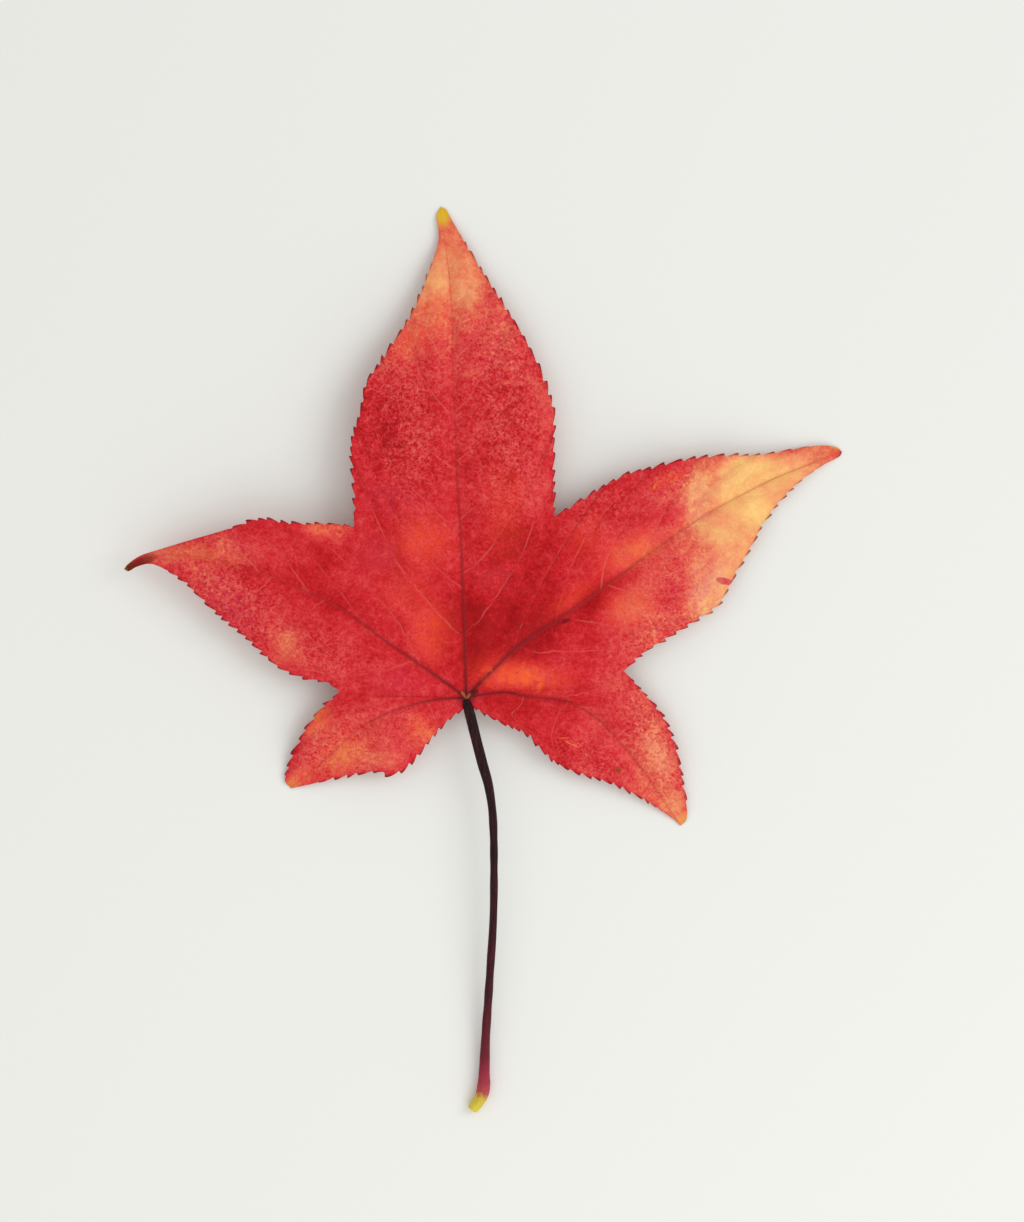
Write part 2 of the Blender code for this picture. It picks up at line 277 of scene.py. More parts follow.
def halfLobe(lobe, side, suture, form):
    # A grid of columns along the lobe and rows from its main vein (row 0) to its margin. A column
    # starts at a share s of the vein and ends at the share s of the margin, so it leans as side veins do.
    climbing = side == 0
    columns = lobe["columns"]
    s = np.linspace(0, 1, columns + 1)
    spine = smoothPath([junction, *lobe["vein"], lobe["tip"]], columns + 1)
    start, points = (suture, lobe["climb"]) if climbing else (lobe["sinus"], lobe["back"][::-1])
    line = smoothPath([start, *points, lobe["tip"]], 6 * columns)
    # teeth are never even: each has its own share of the margin and its own height, and the columns
    # are spaced to fit, so that every tooth gets as many of them
    teeth = lobe["teeth"][side]
    chance = np.random.default_rng(form["toothSeed"] + 10 * lobe["columns"] + side)
    notches = np.concatenate([[0], np.cumsum(chance.uniform(*form["toothSpread"], teeth))])
    heights = chance.uniform(*form["toothSizes"], teeth)
    toothPhase = s * teeth
    margin = evenSteps(line, np.interp(toothPhase, np.arange(teeth + 1), notches / notches[-1]))
    length = np.linalg.norm(np.diff(margin, axis=0), axis=1).sum()

    toTip = headings(margin)
    outwards = np.column_stack([-toTip[:, 1], toTip[:, 0]]) * (1 if climbing else -1)
    tooth = toothProfile(toothPhase, form["toothPeak"])
    end = lobe["teethEnd"][side]
    fade = smoothStep(0, 1, s * length / form["toothFade"]) * (1 - smoothStep(end - 0.15, end, s))
    size = form["toothHeight"] * fade * heights[np.minimum(toothPhase.astype(int), teeth - 1)]
    push = outwards * (size * tooth)[:, None]
    push = push + toTip * (size * form["toothLean"] * np.maximum(tooth + 0.2, 0))[:, None]

    # rows stand close together beside the vein and the margin, and evenly between
    across = margin - spine
    width = np.linalg.norm(across, axis=1)
    squeeze = np.minimum(1, width / form["narrow"])
    inner = np.outer(squeeze, form["nearVein"])
    outer = width[:, None] - np.outer(squeeze, form["nearEdge"])
    spread = np.linspace(0, 1, form["middleRows"] + 2)[1:-1]
    middle = inner[:, -1:] + (outer[:, :1] - inner[:, -1:]) * spread
    rows = np.hstack([inner, middle, outer])
    v = rows / np.maximum(width, 1e-9)[:, None]
    v[-1] = np.linspace(0, 1, v.shape[1])

    along = headings(spine)
    sag = form["bow"] * width * smoothStep(0, 0.15, s)
    place = spine[:, None] + across[:, None] * v[..., None]
    place = place - along[:, None] * (sag[:, None] * 4 * v * (1 - v))[..., None]
    nearMargin = np.exp(-((width[:, None] - rows) / form["toothReach"]) ** 2)
    place = place + push[:, None] * nearMargin[..., None]

    # phase passes a whole number at every side vein, and sideStep is the mm from one to the next
    starts = lobe["sideVeins"][side]
    knots = [0, *starts, 1]
    phaseLine = np.interp(s, knots, np.arange(len(knots)))
    phaseLine = np.where(s < starts[0], 0.5 + 0.5 * s / starts[0], phaseLine)
    wander = form["sideWander"] * np.sin(2.3 * phaseLine[:, None] + 5 * v + lobe["columns"]) * v
    phase = phaseLine[:, None] + wander - form["sideHook"] * smoothStep(0.62, 1.0, v)
    stepAcross = np.gradient(place, axis=0)
    lean = along[:, None] * 0.55 + across[:, None] / np.maximum(width, 1e-9)[:, None, None] * 0.85
    lean = lean / np.linalg.norm(lean, axis=2)[..., None]
    apart = np.abs(stepAcross[..., 0] * lean[..., 1] - stepAcross[..., 1] * lean[..., 0])
    turns = np.maximum(np.abs(np.gradient(phaseLine)), 1e-6)[:, None]
    sideStep = np.clip(apart / turns, 0.5, 14)
    loopPlace, loopDepth = form["sideLoops"]
    loopGap = (v - loopPlace - loopDepth * np.abs(np.sin(np.pi * phase)) ** 0.7) * width[:, None]

    share = np.broadcast_to(s[:, None], v.shape)
    return {
        "x": place[..., 0], "y": place[..., 1], "v": v, "s": share,
        "edgeGap": np.broadcast_to(width[:, None], v.shape) - rows,
        "phase": phase, "sideStep": sideStep, "loopGap": loopGap,
        "toothTip": np.broadcast_to((smoothStep(-0.1, 0.5, tooth) * fade)[:, None], v.shape),
        "width": np.broadcast_to(width[:, None], v.shape),
    }


def veinField(x, y, form):
    # For every point: its distance to the nearest main vein as a share of that vein's half width, that
    # vein's own share of length there, and how far the veins sink the blade above and stand out below.
    ratio = np.full(x.shape, 1e9)
    share = np.zeros(x.shape)
    groove, rib = np.zeros(x.shape), np.zeros(x.shape)
    best = np.full(x.shape, 1e9)
    for lobe in leafPlan:
        spine = smoothPath([junction, *lobe["vein"], lobe["tip"]], 61)
        gap = np.full(x.shape, 1e9)
        at = np.zeros(x.shape)
        for k in range(60):
            start, step = spine[k], spine[k + 1] - spine[k]
            t = np.clip(((x - start[0]) * step[0] + (y - start[1]) * step[1]) / (step @ step), 0, 1)
            away = np.hypot(x - start[0] - t * step[0], y - start[1] - t * step[1])
            nearer = away < gap
            at = np.where(nearer, (k + t) / 60, at)
            gap = np.where(nearer, away, gap)
        scaled = gap / (form["veinHalfWidth"] * lobe["veinWidth"] * (1 - 0.75 * at) + 0.04)
        share = np.where(scaled < ratio, at, share)
        ratio = np.minimum(ratio, scaled)
        dip = form["groove"] * np.exp(-(gap / form["grooveWidth"]) ** 2)
        dip = dip - form["ridge"] * np.exp(-(gap / (form["ridgeWidth"] * (1 - 0.5 * at))) ** 2)
        groove = np.where(gap < best, dip * (1 - 0.7 * at), groove)
        best = np.minimum(best, gap)
        ribWidth = form["ribWidth"] * (1 - 0.65 * at)
        rib = np.maximum(rib, form["rib"] * (1 - 0.8 * at) * np.exp(-(gap / ribWidth) ** 2))
    return ratio, share, groove, rib


def bladeRelief(half, form):
    # height of the upper face: the bent plate, less a groove over the main vein, plus the swelling
    # between side veins, an arch from vein to margin and a slow unevenness made of crossed waves
    x, y, v, s = half["x"], half["y"], half["v"], half["s"]
    size = smoothStep(0, 14, half["width"]) * smoothStep(0, 0.12, s)
    swell = form["quilt"] * np.abs(np.sin(np.pi * half["phase"])) ** 0.8
    swell = swell * smoothStep(0, 0.16, v) * (1 - smoothStep(0.8, 1, v)) * size
    arch = form["arch"] * np.sin(np.pi * v) * size
    waves = np.sin(0.31 * x + 0.17 * y + 1.0) * np.sin(0.23 * y - 0.11 * x + 0.4)
    waves = waves + 0.6 * np.sin(0.52 * x - 0.36 * y + 2.0) * np.sin(0.41 * y + 0.33 * x)
    edgeWave = form["edgeWave"] * np.sin(half["phase"] * 4.4 + 1.3) * smoothStep(0.72, 1, v) * size
    ripple = form["ripple"] * waves * smoothStep(0, 9, half["width"])
    # the left tip has rolled into a gutter, and a knot stands up where the veins part
    gutter = form["gutter"] * (1 - smoothStep(-66.5, -60.5, x)) * v**2
    knot = form["knot"] * np.exp(-(np.hypot(x - junction[0], y - junction[1]) / form["knotWidth"]) ** 2)
    bent = plateHeight(x, y, bladeStands)
    height = bent + swell + arch + ripple + edgeWave + gutter + knot - half["groove"]
    return np.maximum(height, form["lowest"])


def bladeDepth(half, form):
    # thickness: thin at the margin, with a rib under each main vein and a low one under side veins
    thin, thick = form["edgeThickness"], form["thickness"]
    taper = thin + (thick - thin) * smoothStep(0, form["taper"], half["edgeGap"])
    fromSide = np.abs(half["phase"] - np.round(half["phase"])) * half["sideStep"]
    sideRib = form["sideRib"] * np.exp(-(fromSide / form["sideRibWidth"]) ** 2)
    sideRib = sideRib * (1 - smoothStep(0.7, 0.95, half["v"]))
    tipward = smoothStep(0, 3, half["width"])
    return taper + (half["rib"] + sideRib * smoothStep(0, 0.08, half["s"])) * tipward


# pigment
# Redness runs from 0, bare yellow, to 1, deep crimson. Each touch is x, y, reach along and across,
# turn in degrees, and the redness that it pulls the blade towards, laid one after another.
pigment = {
    "start": 0.68,
    "red": [
        # middle lobe, from its tip down
        (-8.0, 80.0, 9, 8, 90, 0.30), (-6.0, 72.0, 8, 11, 90, 0.26), (-9.6, 71.5, 5, 3, 80, 0.08),
        (-12.5, 67.0, 4, 2.5, 60, 0.26), (-8.0, 65.0, 5, 7, 90, 0.38), (3.5, 66.5, 6, 4, 120, 0.46),
        (-3.0, 71.5, 4, 2.5, 100, 0.18), (-13.5, 63.0, 6, 3, 45, 0.38),
        (-2.0, 60.5, 12, 4, 0, 0.50), (-18.0, 56.5, 4, 3, 45, 0.46), (-4.0, 55.0, 13, 4, 0, 0.58),
        (-20.5, 49.0, 5, 4, 60, 0.72), (-19.5, 43.0, 8, 5, 100, 0.82), (11.0, 49.0, 10, 3, 95, 0.53),
        (1.0, 44.0, 7, 6, 90, 0.68), (-20.0, 34.0, 8, 5, 95, 0.74), (-3.0, 33.0, 8, 3, 90, 0.70),
        (10.0, 32.0, 6, 4, 90, 0.60), (12.0, 23.5, 6, 4, 0, 0.76),
        # between the main veins near the base
        (-2.0, 21.0, 6, 3, 90, 0.68), (5.0, 22.0, 5, 4, 90, 0.88), (-5.5, 10.0, 7, 5, 90, 0.82),
        (-1.5, 3.5, 8, 4, 80, 1.02), (8.0, 8.0, 9, 7, 60, 0.97), (8.5, 4.5, 5, 3, 45, 1.00),
        (9.0, 17.0, 8, 6, 60, 0.83), (16.5, 21.0, 6, 5, 60, 0.74), (20.0, 27.0, 6, 4, 60, 0.68),
        (20.5, 10.5, 9, 3, 36, 0.90), (-12.0, 7.0, 5, 3, 80, 0.62), (-6.0, 1.5, 4, 2.4, 90, 0.84),
        # right lobe
        (24.0, 23.5, 4, 3, 40, 0.62), (28.5, 21.0, 5.5, 3, 25, 0.48), (33.5, 20.5, 4, 4, 20, 0.50),
        (33.0, 15.5, 5, 3, 35, 0.52), (35.0, 31.5, 6, 3.5, 15, 0.60), (52.0, 32.0, 13, 10, 25, 0.10),
        (45.5, 15.0, 5, 7, -15, 0.10), (41.5, 33.5, 2.5, 4.5, 0, 0.20), (41.5, 27.5, 3, 5, 0, 0.18),
        (38.0, 22.5, 3, 4, 20, 0.38), (41.0, 17.5, 3.0, 4, 0, 0.30), (41.5, 10.5, 4, 4, 60, 0.22),
        (44.5, 9.5, 3, 3, 0, 0.18), (50.9, 37.0, 5.5, 2.6, 10, 0.04), (52.5, 28.5, 4.5, 4, 50, 0.03),
        (48.0, 32.0, 4, 3, 30, 0.08), (46.5, 24.0, 3.5, 4, 60, 0.09), (57.0, 35.0, 4, 3, 40, 0.10),
        (50.5, 21.0, 4, 3, 60, 0.12),
        (61.5, 37.3, 4.5, 3, 30, 0.11), (65.5, 39.8, 3.5, 2.5, 15, 0.30),
        (28.0, 10.5, 5.0, 4, 20, 0.46), (34.5, 7.5, 5, 4, 30, 0.46), (20.5, 4.5, 6, 3, 20, 0.68),
        (27.5, 2.0, 4, 4, 20, 0.53), (33.0, 4.5, 4, 2, 25, 0.45),
        # between the right vein and the lower right vein, and the lower right lobe
        (7.5, -3.0, 7, 2.6, -8, 0.56), (6.0, -9.0, 7, 3, -10, 0.80), (15.0, -8.5, 6, 3, 0, 0.74),
        (18.5, -2.0, 4, 2, 0, 0.70), (25.0, -4.5, 4, 3, 0, 0.57), (29.5, -8.5, 5, 3, -50, 0.50),
        (22.5, -10.5, 5, 3, -20, 0.60), (21.5, -15.0, 5, 3.5, -35, 0.60), (28.0, -16.5, 5, 4, -50, 0.57),
        (33.0, -14.5, 6, 2.5, -65, 0.38), (14.0, -17.0, 4, 2.5, -35, 0.76), (20.5, -20.5, 6, 2, -20, 0.62),
        (33.5, -20.5, 6, 4, -60, 0.33), (31.0, -24.8, 5, 2.5, -35, 0.40), (36.3, -28.0, 5, 3, -70, 0.27),
        # lower left lobe
        (-7.0, -10.5, 3, 2.5, -45, 0.58), (-12.5, -14.0, 4, 3, -45, 0.50), (-20.0, -13.0, 6, 4, 0, 0.55),
        (-26.0, -12.5, 5, 3, 20, 0.55), (-31.8, -13.5, 4, 3, 60, 0.45), (-27.0, -18.0, 5, 3.5, 20, 0.42),
        (-19.5, -19.0, 5, 3, 0, 0.38), (-33.5, -20.0, 4, 3, 50, 0.54), (-36.0, -23.5, 3, 2, 40, 0.40),
        # left lobe
        (-10.0, -2.0, 4, 3, 0, 0.72), (-15.0, -5.0, 5, 2.5, 0, 0.62), (-26.0, 20.0, 5, 6, 0, 0.70),
        (-33.0, 17.0, 5, 4, 0, 0.76), (-31.5, 25.2, 3.5, 1.4, 0, 0.40), (-27.0, 11.0, 6, 4, -30, 0.80),
        (-41.5, 21.5, 5, 3.0, -5, 0.60), (-48.5, 21.5, 5, 3, -12, 0.46), (-56.0, 20.3, 6, 2.6, -8, 0.49),
        (-62.5, 20.2, 4, 2, -5, 0.42), (-53.0, 14.5, 6, 3, -40, 0.52), (-45.5, 8.0, 6, 2.5, -42, 0.62),
        (-38.0, 3.2, 4, 3, -38, 0.43), (-25.0, 2.5, 5, 4, -30, 0.66), (-32.0, -1.5, 4, 2.5, -5, 0.50),
        (-39.0, 11.5, 4, 4, 0, 0.64),
    ],
    # glow is a clear orange, where yellow shows through a thin red
    "glow": [
        (6.5, -3.0, 7.5, 2.6, -8, 0.95), (13.5, -3.6, 4.0, 2.0, 0, 0.35), (27.5, 20.5, 6.0, 3.4, 32, 0.55),
        (28.0, 10.0, 4.6, 3.6, 20, 0.50), (-11.4, 23.0, 4.8, 4.2, 0, 0.55), (-10.2, 5.6, 4.8, 3.4, 70, 0.65),
        (-15.0, 13.0, 5.0, 4.0, 30, 0.30), (-27.0, -18.0, 6.0, 3.2, 30, 0.6),
        (-12.0, -13.5, 3.6, 2.8, -50, 0.5),
        (-32.0, -11.0, 2.6, 3.6, 60, 0.4), (-35.0, -23.0, 3.0, 2.0, 40, 0.5), (-9.0, 67.0, 3.0, 7.0, 0, 0.4),
        (-13.5, 61.5, 5.0, 2.4, 40, 0.5), (4.0, 29.0, 3.6, 8.0, 0, 0.35), (67.0, 40.2, 2.5, 2.0, 0, 0.4),
        (17.0, 12.0, 5.0, 1.6, 36, 0.4), (-38.0, 2.0, 3.6, 2.6, -38, 0.2), (-31.5, 25.4, 3.5, 1.2, 0, 0.5),
        (34.5, 34.5, 1.2, 0.8, 0, 0.8), (37.3, 35.4, 1.2, 0.8, 0, 0.8), (20.0, 24.0, 4.0, 3.0, 60, 0.3),
    ],
    # speckle is where small crimson islets stand apart in a pale net of veins
    "speckle": [
        (4.0, 48.0, 22, 8, 92, 0.9), (-16.0, 46.0, 14, 8, 100, 1.0), (-48.0, 11.0, 13, 6, -40, 0.95),
        (-32.0, 2.0, 8, 4, -20, 0.7), (33.0, -16.0, 12, 5, -65, 0.95), (35.0, 6.0, 10, 4, 30, 0.8),
        (39.0, 15.0, 6, 8, 45, 0.6), (-6.0, 62.0, 10, 6, 90, 0.5), (20.0, -19.0, 8, 3, -25, 0.7),
        (-52.0, 22.0, 9, 3, -15, 0.6), (24.0, 30.0, 8, 4, 25, 0.6), (38.0, 33.0, 6, 4, 20, 0.7),
        (-28.0, -17.0, 9, 5, 20, 0.9), (-12.0, -14.0, 5, 3, -45, 0.7),
        (54.0, 33.0, 10, 7, 25, 0.0), (-8.0, 78.0, 10, 6, 90, 0.0), (40.5, 24.0, 3, 9, 0, 0.4),
    ],
}


def layTouches(x, y, start, touches):
    # each touch pulls the value towards its own by 0.92 * exp(-(d^2)^1.3), where d is the distance from
    # its middle, turned with it and counted in its own reaches
    value = np.full(x.shape, float(start))
    for atX, atY, reachAlong, reachAcross, turn, aim in touches:
        c, s = np.cos(radians(turn)), np.sin(radians(turn))
        along = ((x - atX) * c + (y - atY) * s) / reachAlong
        across = (-(x - atX) * s + (y - atY) * c) / reachAcross
        value = value + (aim - value) * 0.92 * np.exp(-(along**2 + across**2) ** 1.3)
    return value


def stackMesh(name, vertices, faces, attributes, materials, materialIndex):
    # a mesh object at the origin, with an attribute for every field that a material reads
    mesh = bpy.data.meshes.new(name)
    mesh.from_pydata(vertices.tolist(), [], faces.tolist())
    for key, values in attributes.items():
        layer = mesh.attributes.new(key, "FLOAT", "POINT")
        layer.data.foreach_set("value", np.ascontiguousarray(values, np.float32))
    for material in materials:
        mesh.materials.append(material)
    mesh.polygons.foreach_set("material_index", np.ascontiguousarray(materialIndex, np.int32))
    # doubles are where half lobes meet on a vein or a suture, and where columns end in a tip
    work = bmesh.new()
    work.from_mesh(mesh)
    bmesh.ops.remove_doubles(work, verts=work.verts, dist=2e-6)
    bmesh.ops.recalc_face_normals(work, faces=work.faces)
    work.to_mesh(mesh)
    work.free()
    mesh.shade_smooth()
    piece = bpy.data.objects.new(name, mesh)
    bpy.context.scene.collection.objects.link(piece)
    return piece


def gridFaces(columns, rows, start, flip):
    # quads of a grid whose vertices are numbered row by row within each column
    i, j = np.meshgrid(np.arange(columns - 1), np.arange(rows - 1), indexing="ij")
    a = start + i * rows + j
    quads = np.stack([a, a + rows, a + rows + 1, a + 1], axis=-1).reshape(-1, 4)
    return quads[:, ::-1] if flip else quads


# what the blade's mesh tells its materials at every vertex
bladeFields = (
    "redness", "glow", "speckle", "veinGap", "veinShare", "phase", "sideStep", "loopGap", "edgeGap",
    "toothTip", "fromBase",
)


def makeBlade(form, materials):
    # Ten half lobes side by side round the junction. Each is an upper grid, a lower one a thickness
    # under it and a rim that joins them along the margin, and merging doubles makes them one skin.
    points, faces, index = [], [], []
    gathered = {key: [] for key in bladeFields}
    start = 0
    suture = baseNotch
    for lobe in leafPlan:
        for side in (0, 1):
            half = halfLobe(lobe, side, suture, form)
            veinGap, veinShare, half["groove"], half["rib"] = veinField(half["x"], half["y"], form)
            upper = bladeRelief(half, form)
            lower = upper - bladeDepth(half, form)
            shape = half["x"].shape
            count = half["x"].size
            plan = [zeroX + half["x"] * mm, zeroY + half["y"] * mm]
            for z in (upper, lower):
                points.append(np.stack([*plan, zeroZ + z * mm], axis=-1).reshape(-1, 3))
            top = gridFaces(*shape, start, side == 1)
            bottom = gridFaces(*shape, start + count, side == 0)
            edge = start + np.arange(shape[0]) * shape[1] + shape[1] - 1
            rim = np.stack([edge[:-1], edge[1:], edge[1:] + count, edge[:-1] + count], axis=-1)
            faces += [top, bottom, rim]
            index += [np.zeros(len(top)), np.ones(len(bottom)), np.zeros(len(rim))]
            fields = {
                "redness": layTouches(half["x"], half["y"], pigment["start"], pigment["red"]),
                "glow": layTouches(half["x"], half["y"], 0.0, pigment["glow"]),
                "speckle": layTouches(half["x"], half["y"], 0.18, pigment["speckle"]),
                "veinGap": veinGap, "veinShare": veinShare,
                "phase": half["phase"], "sideStep": half["sideStep"], "loopGap": half["loopGap"],
                "edgeGap": half["edgeGap"], "toothTip": half["toothTip"],
                "fromBase": np.hypot(half["x"] - junction[0], half["y"] - junction[1]),
            }
            for key in bladeFields:
                gathered[key] += [np.ravel(fields[key])] * 2
            start += 2 * count
        suture = lobe["sinus"]
    attributes = {key: np.concatenate(values) for key, values in gathered.items()}
    return stackMesh(
        "leafBlade", np.vstack(points), np.vstack(faces), attributes, materials, np.concatenate(index),
    )


# the petiole
petioleForm = {
    # x, y, height of the middle, radius
    "route": [
        (-3.45, -6.9, 4.75, 0.30), (-3.3, -7.7, 4.85, 0.66), (-3.1, -8.7, 5.0, 0.90),
        (-2.7, -10.2, 5.2, 1.00), (-1.9, -13.5, 5.4, 1.00), (-0.3, -19.7, 5.7, 0.96),
        (1.0, -24.5, 5.7, 0.87), (1.8, -31.0, 5.5, 0.78), (2.0, -41.0, 5.0, 0.74),
        (1.8, -51.0, 4.2, 0.76), (1.1, -62.0, 3.1, 0.78), (0.4, -72.0, 2.1, 0.86), (0.1, -79.4, 1.5, 1.02),
        (0.0, -82.0, 1.36, 1.25), (-0.5, -84.2, 1.30, 1.25), (-2.2, -86.8, 1.15, 1.05),
    ],
    "stations": 420,
    "sides": 36,
    "grooveDepth": 0.16,        # mm, a shallow channel along the upper side near the blade
    "furrow": 0.025,            # mm, fine lengthwise furrows of the dried skin
    "knots": 0.03,              # mm of slow swelling along its length
}


def makePetiole(form, materials):
    # A ring carried along the route. Its radius follows the route's own, less a channel on top and
    # fine furrows, and it closes on a point in the blade and on a dished face at the cut end.
    path = smoothPath(form["route"], form["stations"])
    s = np.linspace(0, 1, len(path))
    ahead = np.gradient(path[:, :3], axis=0)
    ahead /= np.linalg.norm(ahead, axis=1)[:, None]
    side = np.cross(ahead, (0, 0, 1.0))
    side /= np.linalg.norm(side, axis=1)[:, None]
    up = np.cross(side, ahead)
    turn = np.linspace(0, 2 * np.pi, form["sides"], endpoint=False)
    shallower = 1 - smoothStep(0.15, 0.6, s)
    channel = form["grooveDepth"] * np.exp(-((turn - np.pi / 2) / 0.5) ** 2)[None] * shallower[:, None]
    furrow = form["furrow"] * np.sin(7 * turn[None] + 2.5 * np.sin(9 * s)[:, None])
    knots = form["knots"] * np.sin(61 * s + 2 * np.sin(17 * s))[:, None]
    radius = path[:, 3:4] - channel - furrow - knots * smoothStep(0.05, 0.2, s)[:, None]
    rings = path[:, None, :3] + radius[..., None] * (
        np.cos(turn)[None, :, None] * side[:, None] + np.sin(turn)[None, :, None] * up[:, None]
    )
    # the cut face: three smaller rings that dish inwards, then its middle
    last, middle = rings[-1], path[-1, :3]
    caps = [middle + (last - middle) * share + ahead[-1] * bulge for share, bulge in
            ((0.94, 0.05), (0.70, -0.05), (0.35, -0.09), (0.0, -0.09))]
    start = np.broadcast_to(path[0, :3], rings[0].shape)
    rings = np.concatenate([[start], rings, caps])
    share = np.concatenate([[0], s, np.full(len(caps), 1.0)])
    cut = np.concatenate([np.zeros(len(s) + 1), [0.25, 1, 1, 1]])
    ringCount, sides = rings.shape[:2]
    i, j = np.meshgrid(np.arange(ringCount - 1), np.arange(sides), indexing="ij")
    a, b = i * sides + j, i * sides + (j + 1) % sides
    quads = np.stack([a, b, b + sides, a + sides], axis=-1).reshape(-1, 4)
    length = np.linalg.norm(np.diff(path[:, :3], axis=0), axis=1).sum()
    vertices = rings.reshape(-1, 3) * mm + np.array([zeroX, zeroY, zeroZ])
    attributes = {"fromBlade": np.repeat(share * length, sides), "cutFace": np.repeat(cut, sides)}
    return stackMesh("petioleStalk", vertices, quads, attributes, materials, np.zeros(len(quads)))


# materials
def newMaterial(name):
    # a new material comes with its Principled shader already joined to the output
    material = bpy.data.materials.new(name)
    material.use_nodes = True
    return material, material.node_tree


def addNode(tree, name, kind, links=(), stops=(), **settings):
    # Adds one node with its settings. In links an input's name or number takes a fixed value, or the
    # name of a node added before, with the output's name or number after a colon. stops fill a ramp.
    node = tree.nodes.new("ShaderNode" + kind)
    node.name = name
    for key, value in settings.items():
        setattr(node, key, value)
    for key, value in dict(links).items():
        if isinstance(value, str):
            source, _, output = value.partition(":")
            output = int(output) if output.isdigit() else output or 0
            tree.links.new(tree.nodes[source].outputs[output], node.inputs[key])
        else:
            node.inputs[key].default_value = value
    for number, (place, code) in enumerate(stops):
        element = node.color_ramp.elements[number] if number < 2 else node.color_ramp.elements.new(place)
        element.position, element.color = place, toLinear(code)


